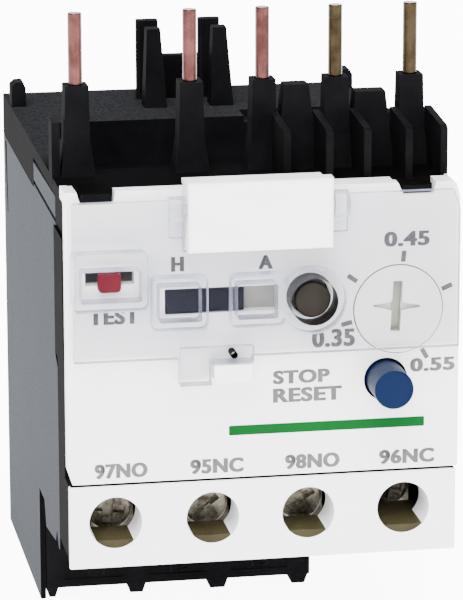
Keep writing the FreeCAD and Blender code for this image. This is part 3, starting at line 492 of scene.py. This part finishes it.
# the front cover's left edge is drawn in a little, so that the black wing shows beside it
for v in shells["front_cover"].data.vertices:
    if v.co.x < gx(0.28):
        v.co.x += 0.40 * G

# the coil under the button, as a smooth-shaded copy that rides with the spring's body
spring = bpy.data.objects.new("reset_spring_coil", nodes["reset_spring"].data.copy())
bpy.context.scene.collection.objects.link(spring)
for f in spring.data.polygons:
    f.use_smooth = True
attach(spring, body_of("reset_spring"))
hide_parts("reset_spring")
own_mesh(spring)


def paint(ob, mat, test):
    """Give the faces picked by test(centre, normal) another material; used here for painted light, shade
    and reflection.
    """
    me = ob.data
    me.materials.append(mat)
    k = len(me.materials) - 1
    for f in me.polygons:
        if test(f.center, f.normal):
            f.material_index = k


# painted light and shade: upward faces of the deck get a lighter black, as if lit from above; the sheltered
# shelf gets a darker one
paint(shells["base_housing"], DECK_LIGHT_SHADE,
      lambda c, n: n.z > 0.9 and c.z > gz(42.9) and c.y > gy(26.0))
paint(shells["base_housing"], SHELF_SHADE,
      lambda c, n: n.z > 0.9 and gz(36.0) < c.z < gz(43.9) and c.y < gy(26.0))

TERM_X = (5.28, 16.53, 27.67, 38.81)
# painted shade: the ledges, lower rims and their rounded edges inside the terminal holes get a dark olive
# colour
paint(shells["terminal_block"], LEDGE_SHADE,
      lambda c, n: n.z > 0.9 and gz(2.3) < c.z < gz(3.6) and c.y > gy(0.95)
      and min(abs(c.x - gx(x)) for x in TERM_X) < 3.2 * G)
paint(shells["terminal_block"], LEDGE_SHADE,
      lambda c, n: n.y < -0.9 and gy(0.05) < c.y < gy(0.4) and gz(1.5) < c.z < gz(3.6)
      and min(abs(c.x - gx(x)) for x in TERM_X) < 3.2 * G)
paint(shells["terminal_block"], LEDGE_SHADE,
      lambda c, n: n.z > 0.2 and n.y < -0.2 and c.y < gy(0.4) and abs(c.z - gz(3.25)) < 0.0003
      and min(abs(c.x - gx(x)) for x in TERM_X) < 3.2 * G)
# painted shade: the floor of the selector slide's recess in the white cover is painted grey
paint(shells["front_cover"], WELL_SHADE,
      lambda c, n: n.y < -0.9 and gy(1.0) < c.y < gy(1.5) and gz(29.5) < c.z < gz(32.6)
      and gx(11.0) < c.x < gx(24.0))

FACE = -0.004
for name, txt, x0, x1, z0, z1 in (
        ("mark_97", "97NO", 2.9, 9.0, 10.6, 12.35), ("mark_95", "95NC", 13.9, 20.1, 10.6, 12.35),
        ("mark_98", "98NO", 24.9, 31.3, 10.6, 12.35), ("mark_96", "96NC", 35.9, 42.4, 10.6, 12.35),
        ("mark_test", "TEST", 2.4, 8.2, 28.7, 30.5), ("mark_h", "H", 11.84, 13.32, 34.55, 36.25),
        ("mark_a", "A", 21.8, 23.5, 34.4, 36.0), ("mark_stop", "STOP", 23.5, 30.1, 20.8, 22.4),
        ("mark_reset", "RESET", 23.5, 31.5, 18.6, 20.3),
        ("dial_top", "0.45", 36.3, 41.6, 36.35, 38.1), ("dial_left", "0.35", 28.0, 33.0, 24.9, 27.0),
        ("dial_right", "0.55", 39.45, 44.7, 21.5, 23.1)):
    fit_text(name, txt, x0, x1 - 0.16, z0, z1, FACE, INK, bold=0.028)
    fit_text(name + "_b", txt, x0 + 0.16, x1, z0, z1, FACE, INK, bold=0.028, thick=0.024)

for n, (tx, tz) in enumerate(((38.59, 35.18), (43.66, 31.39), (32.66, 32.83), (32.03, 27.58),
                              (41.13, 23.64))):
    flat_bar("tick_%d" % n, tx, tz, 1.3, 0.55, math.atan2(tz - 29.05, tx - 38.0), FACE, INK)
# painted shade: the faces of the white cover and terminal block facing into the gap between them are
# painted dark
paint(shells["front_cover"], SEAM_SHADE,
      lambda c, n: n.z < -0.9 and abs(c.z - gz(10.03)) < 0.0002 and c.y < gy(2.0))
paint(shells["terminal_block"], SEAM_SHADE,
      lambda c, n: n.z > 0.9 and abs(c.z - gz(9.75)) < 0.0002 and c.y < gy(2.0))
# painted shade: the hole walls round the dial, the button and the adjusting screw are painted dark to give
# a shadow ring
for wx, wz, wr in ((38.0, 29.05, 5.24), (36.62, 20.79, 2.53), (27.65, 31.15, 2.25)):
    paint(shells["front_cover"], SEAM_SHADE,
          lambda c, n: abs(n.y) < 0.3 and gy(-0.1) < c.y < gy(2.4)
          and abs(math.hypot(c.x - gx(wx), c.z - gz(wz)) - wr * G) < 0.00012)

# painted shade: the wall of the small hole in the clear lug is painted dark
paint(shells["clear_cover"], SEAM_SHADE,
      lambda c, n: abs(n.y) < 0.3 and abs(math.hypot(c.x - gx(18.65), c.z - gz(25.1)) - 0.4 * G) < 0.00012)
# painted reflection: the clear collar's inner wall round the adjusting screw gets a dark colour, standing
# in for the dark well seen in it
COLLAR_REFLECTION = soft_black("collar_wall_painted_reflection", (0.006, 0.0055, 0.005), (0.016, 0.015, 0.014), 0.02, 0.12)
paint(shells["clear_cover"], COLLAR_REFLECTION,
      lambda c, n: abs(n.y) < 0.3 and gy(-2.9) < c.y < gy(1.0)
      and abs(math.hypot(c.x - gx(27.65), c.z - gz(31.15)) - 2.7 * G) < 0.00012)

for n, xc in enumerate((6.6, 16.8, 27.0), 1):
    fit_text("mark_t%d" % n, "T%d" % n, xc - 1.5, xc + 1.3, -10.55, -9.0, 28.846, EMBOSS, bold=0.02,
             thick=0.1)
flat_bar("stripe", (18.4 + 41.17) / 2, (15.0 + 16.15) / 2, 41.17 - 18.4, 1.15, 0.0, FACE, GREEN)


# --------------------------------------------------------------------------
# Floor, light, camera
# --------------------------------------------------------------------------
def stage_plane(name, size, z):
    me = bpy.data.meshes.new(name)
    s = size / 2
    me.from_pydata([(-s, -s, z), (s, -s, z), (s, s, z), (-s, s, z)], [], [(0, 1, 2, 3)])
    ob = bpy.data.objects.new(name, me)
    bpy.context.scene.collection.objects.link(ob)
    m, nt, b = new_mat(name + "_mat")
    v = coords(nt)
    f = noise(nt, v, 40.0)
    nt.links.new(mix_col(nt, f, (0.93, 0.93, 0.93), (0.96, 0.96, 0.96)), b.inputs["Base Color"])
    b.inputs["Roughness"].default_value = 0.8
    b.inputs["Specular IOR Level"].default_value = 0.0
    b.inputs["Emission Color"].default_value = (1, 1, 1, 1)
    ray = nt.nodes.new("ShaderNodeLightPath")
    nt.links.new(span(nt, ray.outputs["Is Camera Ray"], 3.1, 9.0, 0.0, 1.0),
                 b.inputs["Emission Strength"])
    me.materials.append(m)
    return ob


stage_plane("floor", 12.0, -0.00005)

world = bpy.data.worlds.new("studio")
bpy.context.scene.world = world
world.use_nodes = True
bg = world.node_tree.nodes["Background"]
bg.inputs[0].default_value = (1.0, 1.0, 1.0, 1)
wray = world.node_tree.nodes.new("ShaderNodeLightPath")
world.node_tree.links.new(span(world.node_tree, wray.outputs["Is Camera Ray"], 0.35, 9.0, 0.0, 1.0),
                          bg.inputs[1])


def area(name, loc, target, size, energy, color=(1, 1, 1)):
    l = bpy.data.lights.new(name, "AREA")
    l.shape = "RECTANGLE"
    l.size, l.size_y = size
    l.energy = energy
    l.color = color
    o = bpy.data.objects.new(name, l)
    bpy.context.scene.collection.objects.link(o)
    o.location = loc
    o.rotation_euler = (Vector(target) - Vector(loc)).to_track_quat("-Z", "Y").to_euler()
    return o


area("key", (-0.15, -0.60, 0.42), (0, 0, 0.04), (0.6, 0.5), 8.0)
area("fill", (0.5, -0.5, 0.2), (0, 0, 0.04), (0.4, 0.4), 2.0)
area("rim", (0.2, 0.95, 0.36), (0, 0, 0.05), (1.4, 0.35), 9.0)
sun = bpy.data.lights.new("sky", "SUN")
sun.energy = 7.5
sun.angle = math.radians(55.0)
so = bpy.data.objects.new("sky", sun)
bpy.context.scene.collection.objects.link(so)
so.rotation_euler = Vector((0.12, 0.38, -0.9)).to_track_quat("-Z", "Y").to_euler()

cam = bpy.data.cameras.new("cam")
cam.lens = 3818.4908 * 36.0 / 600.0
cam.sensor_width = 36.0
cam.sensor_fit = "AUTO"
cam.clip_start = 0.01
cam.clip_end = 50.0
co = bpy.data.objects.new("cam", cam)
bpy.context.scene.collection.objects.link(co)
R = ((0.9852398, -0.17116768, -0.00203913), (-0.0446777, -0.24562862, -0.96833387),
     (0.16524659, 0.95413217, -0.24965047))
rot = Matrix(((R[0][0], -R[1][0], -R[2][0]), (R[0][1], -R[1][1], -R[2][1]),
              (R[0][2], -R[1][2], -R[2][2])))
co.matrix_world = Matrix.Translation(P(-52.57651391, -411.73455181, 138.68221032)) @ rot.to_4x4()
bpy.context.scene.camera = co
